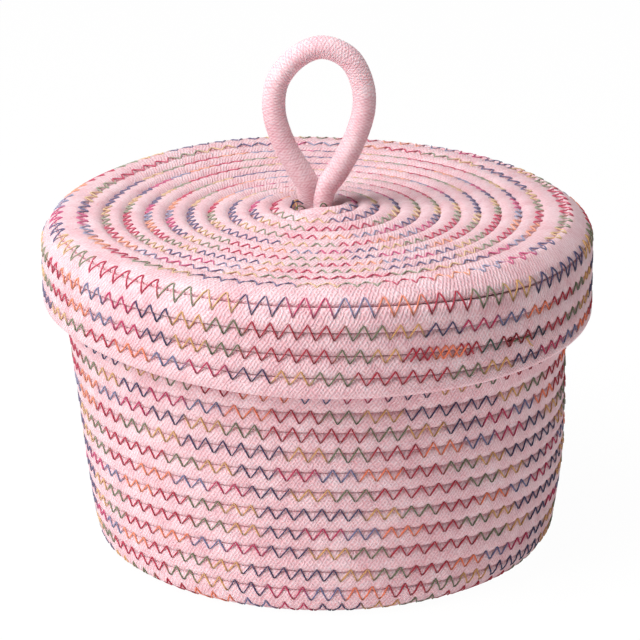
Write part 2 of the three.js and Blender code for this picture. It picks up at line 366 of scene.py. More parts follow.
def lid_length(loops):
    """The first loop's radius, and a pitch for each loop: the top's, then the skirt's. The rope's
    start, before loop 0, flares out, so it is tucked in beside the first loop and not inside it."""
    top = LID_START_RADIUS + LID_PITCH * np.minimum(loops, TOP_LOOPS)
    return top + SKIRT_PITCH * np.maximum(loops - TOP_LOOPS, 0) + START_FLARE * np.maximum(-loops, 0)


RIGHT_BULGE = ((0, 1.7), (12, 2.1), (25, 2.9), (35, 2.9), (50, 1.9), (60, 1.0), (70, 0))
LEFT_BULGE = ((0, 2.6), (6, 1.2), (12, 0.1), (30, -0.3), (60, 0))
LID_FLAT_RIGHT = 1.9 * mm
LID_DROOP = 0.7 * mm
LID_RISE = 1.7 * mm
LID_RISE_PLACE = -35 * mm
LID_RISE_HALF_WIDTH = 65 * mm
LID_RISE_DEPTHS = (20 * mm, 80 * mm)
LID_PRESSED_PLACES = (25 * mm, 95 * mm)
LID_LEAN_HEIGHT = 110 * mm


def basket_lean(places):
    """The wall bulges to the right below the lid, and the foot stands a little to the right. Towards
    the rim the basket leans as the lid does."""
    right, left = (
        np.interp(places[:, 2] / mm, *np.array(bulge).T) * mm for bulge in (RIGHT_BULGE, LEFT_BULGE)
    )
    share = np.clip(0.5 + 0.5 * places[:, 0] / RIM_RADIUS, 0, 1)
    moved = np.zeros_like(places)
    moved[:, 0] = right * share + left * (1 - share)
    return moved + lid_lean(places) * ramp(places[:, 2:], 0, LID_LEAN_HEIGHT)


def lid_lean(places):
    """The lid's right side is pressed in and droops, and its back rises a little on the left: three
    fixed sizes, each times a smooth step across the lid or two."""
    x, y = places[:, 0], places[:, 1]
    to_right = ramp(x, *LID_PRESSED_PLACES)
    behind = ramp(y, *LID_RISE_DEPTHS) * ramp(np.abs(x - LID_RISE_PLACE), LID_RISE_HALF_WIDTH, 0)
    return np.stack([-LID_FLAT_RIGHT * to_right, 0 * x, LID_RISE * behind - LID_DROOP * to_right], -1)


BASKET_START_ANGLE = -math.pi / 2 + 2 * math.pi * FRONT_LOOPS
basket_coil = Coil(
    basket_profile, basket_length, basket_section, basket_lean,
    BASKET_STRAYS, BASKET_START_ANGLE, way=-1, outward=1,
)
lid_coil = Coil(
    lid_profile, lid_length, lid_section, lid_lean,
    LID_STRAYS, LID_START_ANGLE, way=1, outward=-1,
)
print("loops:", round(BASKET_LOOPS, 2), "in the basket and", round(LID_LOOPS, 2), "in the lid")

# %% [markdown]
# The seam between two courses is counted in stitches. A hand feeds the rope to the machine, so a
# stitch is about 4.4 mm long in the middle of the lid and 6 mm on the walls, and drifts by a few per
# cent. The count is the sum of the seam's length over a stitch's, so ropes and thread can both ask
# where a stitch is.
#
# How far the zigzag reaches over the two courses is told in mm, first over the course before and then
# over the next one. It is narrow on the lid's top and wide on the walls, where the basket's seam was
# sewn more over the lower course. It gets narrower towards the sides of a wall. One leg of the zigzag
# takes more of a stitch than the other.

# %% Stitch counts along the seams
BASKET_STITCHES = ((0, 5.8), (FRONT_LOOPS, 5.75), (FRONT_LOOPS + 4, 6.1), (FRONT_LOOPS + 8, 6.45))
LID_STITCHES = ((0, 4.3), (7.5, 4.4), (9, 5.6), (10, 6.4), (11.5, 6.1), (12.5, 5.8), (14.5, 6.1))
BASKET_REACH = (
    (0, 2.0, 2.0), (BASE_LOOPS, 2.1, 2.1), (BASE_LOOPS + 1, 3.4, 1.3), (14.5, 3.4, 1.5),
    (15.5, 3.4, 1.7), (16.5, 3.45, 2.5), (17.5, 3.5, 2.3), (18.5, 3.8, 1.5),
)
LID_REACH = (
    (0, 2.3, 0.6), (8.6, 2.3, 0.7), (9.2, 2.3, 0.9), (9.7, 2.3, 1.8), (10.2, 2.0, 2.1),
    (10.6, 1.7, 2.2), (11.0, 1.6, 2.2), (11.5, 1.9, 2.1), (12.0, 2.4, 2.3), (12.5, 2.6, 2.5),
)
SIDE_LOSS = 0.3
DRIFT_SIZES = (0.012, 0.02, 0.014, 0.03)
DRIFT_WAVES_A_LOOP = (0.71, 1.63, 5.3, 0.37)
COUNT_STEP = 1.0 * mm
SKEW = 0.6


class Seam:
    """How many stitches have been made along the seam between a loop and the next one."""

    def __init__(self, coil, first, last, lengths, reaches, upright, drift_seed):
        self.coil = coil
        self.first = first
        self.last = last
        self.lengths = np.array(lengths).T
        self.reaches = np.array(reaches).T
        self.upright = upright
        self.loops, far = coil.run(first, last, COUNT_STEP)
        phase = np.random.default_rng(drift_seed).uniform(0, 2 * math.pi, len(DRIFT_SIZES))
        waves = zip(DRIFT_SIZES, DRIFT_WAVES_A_LOOP, phase)
        drift = sum(size * np.sin(2 * math.pi * self.loops * often + at) for size, often, at in waves)
        length = self.length(self.loops) * (1 + drift)
        self.count = np.r_[0, np.cumsum(np.diff(far) / length[1:])]

    def length(self, loops):
        """A stitch's length at these loops."""
        return np.interp(loops, *self.lengths) * mm

    def reach(self, loops, side):
        """How far the stitches reach over the next course, side 1, or the one before, side -1."""
        at, before, after = self.reaches
        upright = ramp(loops, self.upright, self.upright + 1)
        loss = SIDE_LOSS * np.cos(self.coil.angle(loops)) ** 2 * upright
        return np.interp(loops, at, after if side > 0 else before) * (1 - loss) * mm

    def stitches(self, loops):
        """The count at these loops."""
        return np.interp(loops, self.loops, self.count)

    def where(self, count):
        """The loops at which the count is reached."""
        return np.interp(count, self.count, self.loops)


basket_seam = Seam(
    basket_coil, first=-0.7, last=BASKET_LOOPS - 1, lengths=BASKET_STITCHES,
    reaches=BASKET_REACH, upright=BASE_LOOPS, drift_seed=11,
)
lid_seam = Seam(
    lid_coil, first=-0.07, last=LID_LOOPS - 1, lengths=LID_STITCHES,
    reaches=LID_REACH, upright=TOP_LOOPS - 2.8, drift_seed=23,
)
print("stitches:", round(basket_seam.count[-1]), "and", round(lid_seam.count[-1]))

# %% [markdown]
# Long round things, ropes and threads alike, are skins over rings of points. The UV map named lay
# goes once round the rope and, in metres, along it, which is what the yarn patterns follow. A second
# map lays the rope in rows in one square, for whoever bakes its colours to a picture. Blender could
# skin a curve by itself, but wouldn't let each ring have its own shape or the map its own scale.

# %% A skin over rings


def tube(name, rings, along):
    """A closed tube over rings, an array of ring, point and coordinate, with a point at each end."""
    count, sides = rings.shape[:2]
    ends = np.stack([rings[0].mean(0), rings[-1].mean(0)])
    vertices = np.concatenate([rings.reshape(-1, 3), ends])
    ring, side = np.meshgrid(np.arange(count - 1), np.arange(sides), indexing="ij")
    beside = (side + 1) % sides
    a, b = ring * sides + side, ring * sides + beside
    quads = np.stack([a, b, b + sides, a + sides], -1).reshape(-1, 4)
    edge = np.arange(sides)
    after = (edge + 1) % sides
    end = (count - 1) * sides
    start_fan = np.stack([np.full(sides, count * sides), after, edge], -1)
    end_fan = np.stack([np.full(sides, count * sides + 1), edge + end, after + end], -1)
    corner = rings[:-1, :, :]
    turn = np.cross(np.roll(corner, -1, 1) - corner, rings[1:] - corner)
    outward = corner - corner.mean(1, keepdims=True)
    inside_out = (turn * outward).sum() < 0
    corners = np.concatenate([quads.ravel(), start_fan.ravel(), end_fan.ravel()])
    sizes = np.r_[np.full(len(quads), 4), np.full(2 * sides, 3)]

    mesh = bpy.data.meshes.new(name)
    mesh.vertices.add(len(vertices))
    mesh.vertices.foreach_set("co", vertices.astype(np.float32).ravel())
    mesh.loops.add(len(corners))
    mesh.loops.foreach_set("vertex_index", corners.astype(np.int32))
    mesh.polygons.add(len(sizes))
    starts = np.r_[0, np.cumsum(sizes)[:-1]].astype(np.int32)
    mesh.polygons.foreach_set("loop_start", starts)
    mesh.update(calc_edges=True)

    step = np.array([0, 0, 1, 1])
    turned = np.array([0, 1, 1, 0])
    ring_of = (ring[..., None] + step).reshape(-1)
    around = ((side[..., None] + turned) / sides).reshape(-1)
    ring_middle = rings[count // 2]
    girth = np.linalg.norm(np.roll(ring_middle, -1, 0) - ring_middle, axis=1).sum()
    row_count = max(1, round(math.sqrt(along[-1] / girth)))
    row_rings = (count - 1) / row_count
    row = np.minimum((np.repeat(ring.ravel(), 4) / row_rings).astype(int), row_count - 1)
    cap = np.zeros(6 * sides)
    lay = np.stack([np.r_[around, cap + 0.5], np.r_[along[ring_of], cap]], -1)
    across = (ring_of - row * row_rings) / row_rings
    laid = np.stack([np.r_[np.clip(across, 0, 1), cap], np.r_[(row + around) / row_count, cap]], -1)
    for map_name, places in (("lay", lay), ("OFBake", laid)):
        layer = mesh.uv_layers.new(name=map_name)
        layer.uv.foreach_set("vector", places.astype(np.float32).ravel())
    mesh.uv_layers.active = mesh.uv_layers["lay"]
    if inside_out:
        mesh.flip_normals()
    mesh.polygons.foreach_set("use_smooth", np.ones(len(sizes), bool))
    mesh.validate()
    return add_object(name, mesh)


# %% [markdown]
# The stitches shape the rope. Where the needle goes through, the thread pulls the rope's surface in,
# and along each leg of the zigzag it presses a shallow crease, so that the rope swells between the
# legs. Both are small sums of bell curves, measured from the nearest stitch.

# %% The rope's surface
PIT_DEPTH = 0.32 * mm
PIT_SIZE = 0.85 * mm
CREASE_DEPTH = 0.12 * mm
CREASE_SIZE = 0.6 * mm
ROPE_SIDES = 20
SIDES_OUTSIDE = 0.62


def rounded_square(turn, square):
    """Sideways and outward, from -1 to 1, where a ray at this turn meets a rounded square: the two
    sizes there, each raised to the squareness, add up to 1."""
    sine, cosine = np.sin(2 * math.pi * turn), np.cos(2 * math.pi * turn)
    far = (np.abs(sine) ** square + np.abs(cosine) ** square) ** (-1 / square)
    return -sine * far, -cosine * far


def dent(seam, loops, place, half, side):
    """How far stitches press the rope in: a bell-shaped pit at the needle's hole, and a bell-shaped
    crease across each leg. place is measured across the rope, and side is +1 where the seam lies
    towards the next course and -1 where it lies towards the one before."""
    stitches = seam.stitches(loops) + (1 - SKEW if side > 0 else 0)
    gap = stitches - np.round(stitches)
    needle = side * (half - seam.reach(loops, -side))
    pit = PIT_DEPTH * bell(gap * seam.length(loops), PIT_SIZE) * bell(place - needle, PIT_SIZE)
    leg_share = np.where(gap * side < 0, SKEW, 1 - SKEW)
    travel = (seam.reach(loops, 1) + seam.reach(loops, -1)) * np.abs(gap) / leg_share
    return pit + CREASE_DEPTH * bell(place - needle - side * travel, CREASE_SIZE)


def rope_rings(seam, loops):
    """Rings of a rope's surface: a rounded square, pressed in by the stitches on both faces, and a
    wedge where the wall bends, wider outside by the thickness times the tangent of half the angle
    between this course and its neighbour on that side."""
    coil = seam.coil
    middle, across, outward = coil.at(loops)
    half, outer, inner, square = (part[:, None] for part in coil.section(loops))
    turn = np.arange(ROPE_SIDES) / ROPE_SIDES
    turn = turn + (1 - 2 * SIDES_OUTSIDE) * np.sin(2 * math.pi * turn) / (2 * math.pi)
    wide, tall = rounded_square(turn, square)
    wide = wide * half * SPREAD
    after, before = loops[:, None], loops[:, None] - 1
    press = (after < seam.last) * (after > seam.first) * dent(seam, after, wide, half, 1)
    press = press + (before > seam.first) * dent(seam, before, wide, half, -1)
    thick = tall * np.where(tall > 0, outer, inner) - press * np.sign(tall) * np.abs(tall) ** 0.5
    over, under = (coil.bend(loops + side)[:, None] for side in (0.5, -0.5))
    bend = np.where(wide > 0, over, under)
    wide = wide * (1 + np.tan(bend) * thick / half)
    return middle[:, None] + wide[..., None] * across[:, None] + thick[..., None] * outward[:, None]


# %% [markdown]
# The basket's rope is one rope ten metres long. A curve with a round bevel could make it, but the
# section changes on the way and every stitch dents it, so each ring is worked out. It is cut into
# pieces only because a mesh is easier to handle in parts. The cuts stand square to the rope and meet
# without a gap. On the floor the rope's underside is pressed flat.

# %% The basket's rope
ROPE_STEP = 0.75 * mm
BASE_STEP = 1.4 * mm
BASE_INNER_LOOPS = -0.9


def lay_rope(name, seam, first, last, step=ROPE_STEP):
    """One stretch of a coil's rope, from the first of these loops to the last."""
    loops, far = seam.coil.run(first, last, step)
    rings = rope_rings(seam, loops)
    rings[..., 2] = np.maximum(rings[..., 2], 0)
    piece = tube(name, rings, far)
    print(name, "rope of", round(far[-1], 2), "m,", len(piece.data.polygons), "faces")
    return piece


WALL_CUTS = (BASE_LOOPS + 0.9, BASE_LOOPS + 5.9, BASE_LOOPS + 10.8, BASKET_LOOPS)
basket_ropes = [lay_rope("basket_base_rope", basket_seam, BASE_INNER_LOOPS, WALL_CUTS[0], BASE_STEP)]
for order, cuts in enumerate(zip(WALL_CUTS, WALL_CUTS[1:]), 1):
    basket_ropes.append(lay_rope(f"basket_wall_rope_{order}", basket_seam, *cuts))
for piece in basket_ropes:
    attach(piece, "basket")
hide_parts("basket_coil")

# %% [markdown]
# The lid's rope is the shorter one. It is made by the same function, from the lid's profile: its
# courses lie side by side on top and stand over each other in the skirt.

# %% The lid's rope
LID_CUTS = (-START_LOOPS, 9.6, TOP_LOOPS + 0.2, LID_LOOPS)
lid_ropes = []
for order, cuts in enumerate(zip(LID_CUTS, LID_CUTS[1:]), 1):
    lid_ropes.append(lay_rope(f"lid_rope_{order}", lid_seam, *cuts))
for piece in lid_ropes:
    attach(piece, "lid")
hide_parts("lid_coil")

# %% [markdown]
# The thread is dyed in runs of colour that come back in mirrored order, from a long navy run to a
# long red one and back. Half of that pattern is written here, in stitches, and it goes by as the
# stitches do. For each seam, one place and how many halves have gone by there set where it starts.

# %% Colours of the thread
NAVY = (0.050, 0.040, 0.110)
GOLD = (0.68, 0.36, 0.13)
GREEN = (0.155, 0.170, 0.095)
RED = (0.43, 0.014, 0.038)
ORANGE = (0.88, 0.21, 0.10)
BLUE = (0.15, 0.155, 0.30)
CRIMSON = (0.52, 0.028, 0.105)
DARK_GREEN = (0.035, 0.075, 0.060)
DARK_RED = (0.30, 0.012, 0.025)
DARK_NAVY = (0.022, 0.022, 0.050)
HALF_PATTERN = (
    (NAVY, 3.0), (GOLD, 2.1), (GREEN, 2.2), (RED, 2.7), (ORANGE, 2.5), (BLUE, 2.2),
    (CRIMSON, 2.3), (NAVY, 2.4), (GOLD, 2.1), (GREEN, 2.2), (RED, 2.7),
)
DYE_BLEND = 0.3
PATTERN_STITCHES = sum(size for _, size in HALF_PATTERN)
BASKET_DYE_PLACE = 4
BASKET_DYE_PHASE = 1.2
LID_DYE_PLACE = 12
LID_DYE_PHASE = 1.0
REPAIR_START = 13.057
REPAIR_END = 13.0918
LID_REPAIR = (
    (REPAIR_START, 13.0737, RED), (13.0737, REPAIR_END, ORANGE), (REPAIR_END, 13.1057, RED),
    (13.1057, 13.121, DARK_GREEN), (13.121, 13.146, DARK_RED), (13.146, 13.158, DARK_NAVY),
)
END_SHADE = 0.65
# Painted light: how much the thread's colour is paled where it faces up, and where it faces left,
# towards the lamps.
LIGHT_PAINTED_ON_TOP = 0.50
LIGHT_PAINTED_ON_LEFT = 0.42
print("half of the thread's pattern:", round(PATTERN_STITCHES, 1), "stitches")


def dye(halves):
    """The thread's colour where this many halves of the pattern have gone by. Every second half
    runs backwards, and neighbouring colours blend over about a third of a stitch."""
    sizes = np.array([size for _, size in HALF_PATTERN])
    ends = np.cumsum(sizes)
    stops = np.stack([ends - sizes + DYE_BLEND / 2, ends - DYE_BLEND / 2], -1).ravel()
    colours = np.repeat([colour for colour, _ in HALF_PATTERN], 2, axis=0)
    folded = 1 - np.abs(np.mod(halves, 2) - 1)
    parts = [np.interp(folded * ends[-1], stops, colours[:, i]) for i in range(3)]
    return np.stack([*parts, np.ones_like(folded)], -1)


def dye_along(seam, loops, place, phase, repair=()):
    """The thread's colour along a seam: the pattern goes by with the stitches, and at one place this
    many halves of it have gone by. A mended stretch has other colours."""
    colours = dye(phase + (seam.stitches(loops) - seam.stitches(place)) / PATTERN_STITCHES)
    for start, stop, colour in repair:
        colours[(loops >= start) & (loops < stop), :3] = colour
    return colours


# %% [markdown]
# The seam's thread bridges the groove between two courses. It goes from a needle's hole on one rope
# straight to the next hole on the other, lies on the ropes' crowns on its way and dips into the rope
# at each hole. Its shape is a skewed triangle wave of the stitch count. Where the wall bends, a
# straight thread would run through the ropes, so each of its points is lifted to their surface.
# Under the base the basket's weight presses it into the rope. A picture of stitches would look flat
# at the rim, so every stitch is a real thread, but with only four sides, because there are many.

# %% The zigzag seams
THREAD_RADIUS = 0.285 * mm
THREAD_SIDES = 4
THREAD_DIP = 0.55 * mm
THREAD_LIFT = 0.02 * mm
THREAD_PRESSED = 0.6
DIP_START = 0.8
SHADE_START = 0.3
LEG_STOPS = np.array([0.0, 0.12, 0.3, 0.5, 0.7, 0.88])
STITCH_STOPS = np.r_[LEG_STOPS * SKEW, SKEW + LEG_STOPS * (1 - SKEW)]


def unit(vectors):
    """Each vector over its length."""
    return vectors / np.linalg.norm(vectors, axis=-1, keepdims=True)


def crown(coil, loops, place, face):
    """The height of a rope's surface over its middle, at a place across it. It and the place, each
    over its largest size and raised to the squareness, add up to 1."""
    half, outer, inner, square = coil.section(loops)
    wedge = 1 + (face > 0) * np.tan(coil.bend(loops + np.sign(place) / 2)) * outer / half
    share = np.clip(np.abs(place) / (half * wedge), 0, 1)
    return (outer if face > 0 else inner) * (1 - share**square) ** (1 / square)


def buried(coil, loops, points, face):
    """How far points lie under a rope's surface: the crown's height less their height."""
    middle, across, outward = coil.at(loops)
    place = ((points - middle) * across).sum(axis=1)
    height = face * ((points - middle) * outward).sum(axis=1)
    return crown(coil, loops, place, face) - height


def on_rope(coil, loops, place, face):
    """The point of a rope's surface at a place across it, and the way outward there."""
    middle, across, outward = coil.at(loops)
    height = face * crown(coil, loops, place, face)
    return middle + place[:, None] * across + height[:, None] * outward, outward


def seam_points(seam, count, face, phase=0):
    """The thread's middle line, the way off the rope and the swing from one rope to the other. The
    swing is a triangle wave of the count between 1 and -1, and its way down takes more of a stitch
    than its way up. A point lies as far along the straight line between the two holes, is lifted by
    the most that it is buried in either rope, and dips by a square of how near a hole it is."""
    coil, loops = seam.coil, seam.where(count + phase)
    low_place = coil.section(loops)[0] - seam.reach(loops, -1)
    high_place = seam.reach(loops, 1) - coil.section(loops + 1)[0]
    low, low_out = on_rope(coil, loops, low_place, face)
    high, high_out = on_rope(coil, loops + 1, high_place, face)
    part = (count - np.floor(count))[:, None]
    swing = np.where(part < SKEW, 1 - 2 * part / SKEW, 2 * (part - SKEW) / (1 - SKEW) - 1)
    off = unit(face * (low_out + high_out))
    near_hole = np.clip((np.abs(swing) - DIP_START) / (1 - DIP_START), 0, 1)
    dip = THREAD_LIFT - THREAD_DIP * near_hole**2
    points = (low * (1 - swing) + high * (1 + swing)) / 2
    lift = np.maximum(buried(coil, loops, points, face), buried(coil, loops + 1, points, face))
    points = points + (dip + np.maximum(lift, 0)[:, None]) * off
    points[:, 2] = np.maximum(points[:, 2], THREAD_PRESSED * THREAD_RADIUS)
    return points, off, swing[:, 0]


def thread_rings(points, off, radius):
    """Rings round a thread's middle line: the cosine of the turn beside it and the sine over it."""
    ahead = unit(np.gradient(points, axis=0))
    beside = unit(np.cross(ahead, off))
    over = np.cross(beside, ahead)
    turn = 2 * math.pi * (np.arange(THREAD_SIDES) + 0.5) / THREAD_SIDES
    ring = np.cos(turn)[None, :, None] * beside[:, None] + np.sin(turn)[None, :, None] * over[:, None]
    return points[:, None] + radius * ring


def thread_piece(name, body, points, off, colours, radius=THREAD_RADIUS):
    """A thread as a tube with its colours as an attribute, riding on a body. off and colours are
    one value or one for each point."""
    piece = tube(name, thread_rings(points, off, radius), lengths_along(points))
    colours = np.broadcast_to(colours, (len(points), 4))
    each = np.concatenate([np.repeat(colours, THREAD_SIDES, axis=0), colours[:1], colours[-1:]])
    # The dye attribute holds the thread's colours, with any painted light and painted shade already in
    # them.
    attribute = piece.data.attributes.new("dye", "FLOAT_COLOR", "POINT")
    attribute.data.foreach_set("color", each.astype(np.float32).ravel())
    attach(piece, body)
    return piece


def stitch_counts(seam, low, high):
    """The count at every stop of the whole stitches between two places along the seam."""
    whole = np.arange(math.ceil(seam.stitches(low)), seam.stitches(high))
    return (whole[:, None] + STITCH_STOPS).ravel()


def seam_thread(name, body, seam, low, high, face, tint):
    """One stretch of zigzag on one face. On a wall the lower end of each leg is darkened as painted
    shade. Where the thread faces up or to the left, towards the lamps, it is paled as painted light: its
    colour is raised to a power of 1 less the share of painted light there."""
    count = stitch_counts(seam, low, high)
    points, off, swing = seam_points(seam, count, face)
    colours = tint(seam.where(count))
    # Painted light: thread that faces up or to the left is paled, as if lit more strongly.
    painted_light = LIGHT_PAINTED_ON_TOP * np.maximum(off[:, 2], 0) ** 2 + LIGHT_PAINTED_ON_LEFT * np.maximum(-off[:, 0], 0) ** 2
    colours[:, :3] **= 1 - painted_light[:, None]
    climb = seam.coil.at(seam.where(count))[1][:, 2]
    shade = END_SHADE * (swing * climb < 0) * ramp(np.abs(climb), 0, 0.5)
    colours[:, :3] *= (1 - shade * ramp(np.abs(swing), SHADE_START, 1))[:, None]
    piece = thread_piece(name, body, points, off, colours)
    print(name, len(count) // len(STITCH_STOPS), "stitches")
    return piece


def basket_tint(loops):
    """The dye along the basket's seam."""
    return dye_along(basket_seam, loops, FRONT_LOOPS + BASKET_DYE_PLACE, BASKET_DYE_PHASE)


def lid_tint(loops):
    """The dye along the lid's seam, with the mended stretch."""
    return dye_along(lid_seam, loops, LID_DYE_PLACE, LID_DYE_PHASE, LID_REPAIR)


threads = []
seam_parts = (
    ("basket", basket_seam, (-0.6, BASE_LOOPS + 4.0, BASKET_LOOPS - 1), basket_tint),
    ("lid", lid_seam, (-0.06, LID_LOOPS - 1), lid_tint),
)
for body, seam, cuts, tint in seam_parts:
    for order, (low, high) in enumerate(zip(cuts, cuts[1:]), 1):
        for face, side in ((1, "outside"), (-1, "inside")):
            name = f"{body}_seam_{side}_{order}"
            threads.append(seam_thread(name, body, seam, low, high, face, tint))

# %% [markdown]
# The loop is a thicker braided rope, pinched where it goes down through the middle of the lid. Its
# ends are bent flat under the lid. Here it is one rope from end to end: a smooth curve through
# given points, centripetal so that it doesn't overshoot where the points are close. Its
# braid is modelled and not only shaded, because the loop stands out against the white.

# %% The loop's rope
LOOP_ROPE = 4.15 * mm
LEG_PLACE = 2.8 * mm
LEG_HALF_WIDTH = 3.5 * mm
LEG_HALF_DEPTH = 3.1 * mm
LEG_SHIFT = (-1.5 * mm, 0.15 * mm)
LEG_STAGGER = 1.05 * mm
HINGE_HEIGHT = LID_CORD_HEIGHT + 9.5 * mm
LOOP_HEIGHT = 53.6 * mm
LOOP_HALF_WIDTH = 16 * mm
LOOP_TOP_SHIFT = 1.6 * mm
LEG_SWING = 0.6 * mm
LEG_SWING_HEIGHT = 0.05 * LOOP_HEIGHT
TAIL_LENGTH = 24 * mm
TAIL_HALF_HEIGHT = 2.6 * mm
TAIL_BEND = 4.2 * mm
TAIL_BACK_TURN = math.radians(20)
TAIL_GAP = 0.4 * mm
TAIL_HEIGHT = LID_CORD_HEIGHT + LID_MOUND_HEIGHT - ROPE_IN - TAIL_GAP - TAIL_HALF_HEIGHT
ROUTE_GAP = 0.4 * mm
LOOP_SIDES = 40
LOOP_STEP = 0.24 * mm
YARN_HEIGHT = 0.16 * mm
YARN_COUNT = 9
YARN_SPACING = 1.15 * mm
YARN_FLATNESS = 0.7
YARN_LEVEL = 0.6
LEG_MOVED_HEIGHTS = (HINGE_HEIGHT + 8 * mm, HINGE_HEIGHT - 3 * mm)
TAIL_MOVED_HEIGHTS = (TAIL_HEIGHT, TAIL_HEIGHT + 6 * mm)
SWELLING_HEIGHTS = (LID_CORD_HEIGHT + 3 * mm, LID_CORD_HEIGHT + 15 * mm)
PINCHED_HEIGHTS = (LID_CORD_HEIGHT + 4 * mm, LID_CORD_HEIGHT - 2 * mm)
LOOP_END_ROUNDING = 1.2 * mm
LOOP_END_SIZE = 0.72
LOOP_SMOOTHING = 9


def smooth_curve(points, samples=60):
    """Points on a centripetal Catmull-Rom curve: a cubic between each two, whose slopes weigh the
    neighbours by the square root of how far away they are."""
    points = np.asarray(points, float)
    padded = np.concatenate([[2 * points[0] - points[1]], points, [2 * points[-1] - points[-2]]])
    pieces = []
    share = np.linspace(0, 1, samples, endpoint=False)[:, None]
    for p, q, r, s in zip(padded, padded[1:], padded[2:], padded[3:]):
        before, here, after = (math.sqrt(np.linalg.norm(b - a)) for a, b in ((p, q), (q, r), (r, s)))
        leave = (q - p) / before - (r - p) / (before + here) + (r - q) / here
        reach = (r - q) / here - (s - q) / (here + after) + (s - r) / after
        leave, reach = leave * here, reach * here
        square, cube = share**2, share**3
        pieces.append(
            (2 * cube - 3 * square + 1) * q + (cube - 2 * square + share) * leave
            + (3 * square - 2 * cube) * r + (cube - square) * reach
        )
    return np.concatenate([*pieces, points[-1:]])


def loop_route():
    """The loop over the lid, from hinge to hinge: the legs swing out and the top leans right."""
    left = ((-0.43, 0.15), (-0.77, 0.33), (-1, 0.57), (-0.9, 0.78), (-0.43, 0.945))
    right = ((0.67, 0.925), (0.97, 0.75), (1, 0.57), (0.74, 0.33), (0.41, 0.15))
    route = [(-LEG_PLACE, 0), (-LEG_PLACE - LEG_SWING, LEG_SWING_HEIGHT)]
    route += [(x * LOOP_HALF_WIDTH, z * LOOP_HEIGHT) for x, z in left]
    route += [(LOOP_TOP_SHIFT, LOOP_HEIGHT)]
    route += [(x * LOOP_HALF_WIDTH, z * LOOP_HEIGHT) for x, z in right]
    route += [(LEG_PLACE + LEG_SWING, LEG_SWING_HEIGHT), (LEG_PLACE, 0)]
    return smooth_curve([(x, 0, HINGE_HEIGHT + z) for x, z in route])


def tail_route(side):
    """One end, from under the hinge down through the lid, round a bend and out under the lid."""
    leg = np.array([side * LEG_PLACE, 0, 0])
    out = np.array([side * math.cos(TAIL_BACK_TURN), math.sin(TAIL_BACK_TURN), 0])
    turn = np.linspace(0, math.pi / 2, 12)[:, None]
    height = TAIL_HEIGHT + TAIL_BEND * (1 - np.sin(turn))
    bend = leg + TAIL_BEND * (1 - np.cos(turn)) * out + height * UP
    lowest = TAIL_HEIGHT + TAIL_BEND + ROUTE_GAP
    drop = np.linspace(HINGE_HEIGHT - ROUTE_GAP, lowest, 20)[:, None]
    far = np.linspace(TAIL_BEND + ROUTE_GAP, TAIL_LENGTH, 20)[:, None]
    sink = LID_MOUND_HEIGHT * (1 - bell(far, LID_MOUND_RADIUS))
    run = leg + far * out + (TAIL_HEIGHT - sink) * UP
    return np.concatenate([leg + drop * UP, bend, run])


def resample(points, step):
    """The same line with points one step apart, and the length up to each."""
    far = lengths_along(points)
    even = np.linspace(0, far[-1], int(far[-1] / step) + 2)
    return np.stack([np.interp(even, far, points[:, i]) for i in range(3)], -1), even


def braid(along, around):
    """A braid's relief from 0 to 1: two families of yarns that cross and take turns on top. A yarn
    is a sine's size to a power, and the turns are a product of two sines."""
    one = along / YARN_SPACING + YARN_COUNT * around
    other = along / YARN_SPACING - YARN_COUNT * around
    ridge, crossed = (np.abs(np.sin(math.pi * yarn)) ** YARN_FLATNESS for yarn in (one, other))
    over = 0.5 + 0.5 * np.sin(math.pi * (one + other) / 2) * np.sin(math.pi * (one - other) / 2)
    return between(crossed, ridge, over)


def leg_lean(points):
    """Moves the legs where they leave the lid: both a little left, the right one to the front."""
    height = points[:, 2]
    near = ramp(height, *LEG_MOVED_HEIGHTS) * ramp(height, *TAIL_MOVED_HEIGHTS)
    side = np.sign(points[:, 0])
    moved = points.copy()
    moved[:, 0] += near * LEG_SHIFT[0]
    moved[:, 1] += near * (LEG_SHIFT[1] - side * LEG_STAGGER)
    return moved


def loop_rope():
    """The loop's rope from end to end: rings round its route, an ellipse plus the braid's relief.
    The ellipse is small at the lid, round in the loop, flatter under the lid and blunt at both
    ends."""
    left, right = tail_route(-1), tail_route(1)
    line = leg_lean(np.concatenate([left[::-1], loop_route(), right]))
    points, far = resample(line, LOOP_STEP)
    smooth = np.full(LOOP_SMOOTHING, 1 / LOOP_SMOOTHING)
    smoothed = np.stack([np.convolve(points[:, i], smooth, "valid") for i in range(3)], -1)
    points[LOOP_SMOOTHING // 2 : -(LOOP_SMOOTHING // 2)] = smoothed
    ahead = unit(np.gradient(points, axis=0))
    depth = np.tile([0.0, 1.0, 0.0], (len(points), 1))
    depth = unit(depth - (depth * ahead).sum(1, keepdims=True) * ahead)
    width = np.cross(ahead, depth)
    free = ramp(points[:, 2], *SWELLING_HEIGHTS)
    pinched = ramp(points[:, 2], *PINCHED_HEIGHTS)
    half_width = between(between(LEG_HALF_WIDTH, LOOP_ROPE, free), TAIL_HALF_HEIGHT, pinched)
    half_depth = between(LEG_HALF_DEPTH, LOOP_ROPE, free)
    end = np.clip(np.minimum(far, far[-1] - far) / LOOP_END_ROUNDING, 0, 1)
    blunt = between(LOOP_END_SIZE, 1, np.sqrt(1 - (1 - end) ** 2))
    turn = 2 * math.pi * np.arange(LOOP_SIDES) / LOOP_SIDES
    relief = YARN_HEIGHT * (braid(far[:, None], turn / (2 * math.pi)) - YARN_LEVEL)
    wide = (half_width * blunt)[:, None] + relief
    deep = (half_depth * blunt)[:, None] + relief
    rings = points[:, None] + (np.cos(turn) * wide)[..., None] * width[:, None]
    rings = rings + (np.sin(turn) * deep)[..., None] * depth[:, None]
    print("handle rope of", round(far[-1], 3), "m")
    return tube("handle_rope", rings, far)


